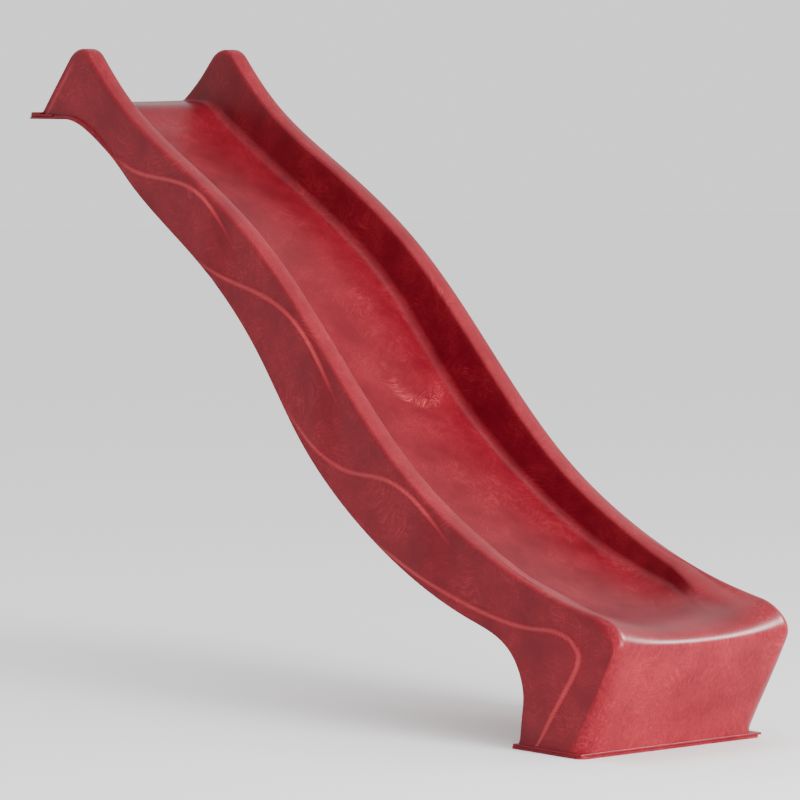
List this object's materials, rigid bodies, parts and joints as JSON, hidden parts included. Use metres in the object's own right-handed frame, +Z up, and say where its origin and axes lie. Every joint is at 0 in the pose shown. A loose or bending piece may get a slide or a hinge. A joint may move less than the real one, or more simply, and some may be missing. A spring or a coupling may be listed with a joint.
{
  "type": "wave slide",
  "caption": "Twin-skin moulded wave slide for a play tower, with flared entry fins, a hook-on lip fixed by capped screws and a flat foot.",
  "frame": {"origin": "centre of the foot's flat base, on the ground", "axes": "+X runs down the slide towards its exit, +Y is to the left of someone sliding down, +Z is up"},
  "size_m": [2.2833, 0.5838, 1.634],
  "materials": {
    "red_hdpe": "satin moulded HDPE",
    "zinc_steel": "zinc plated",
    "black_cap": "matt moulded nylon"
  },
  "bodies": {
    "root": {"upper_shell": "red_hdpe", "lower_shell": "red_hdpe", "deck_screw_left": "zinc_steel", "deck_washer_left": "zinc_steel", "deck_screw_cap_left": "black_cap", "deck_screw_middle": "zinc_steel", "deck_washer_middle": "zinc_steel", "deck_screw_cap_middle": "black_cap", "deck_screw_right": "zinc_steel", "deck_washer_right": "zinc_steel", "deck_screw_cap_right": "black_cap"}
  },
  "joints": []
}
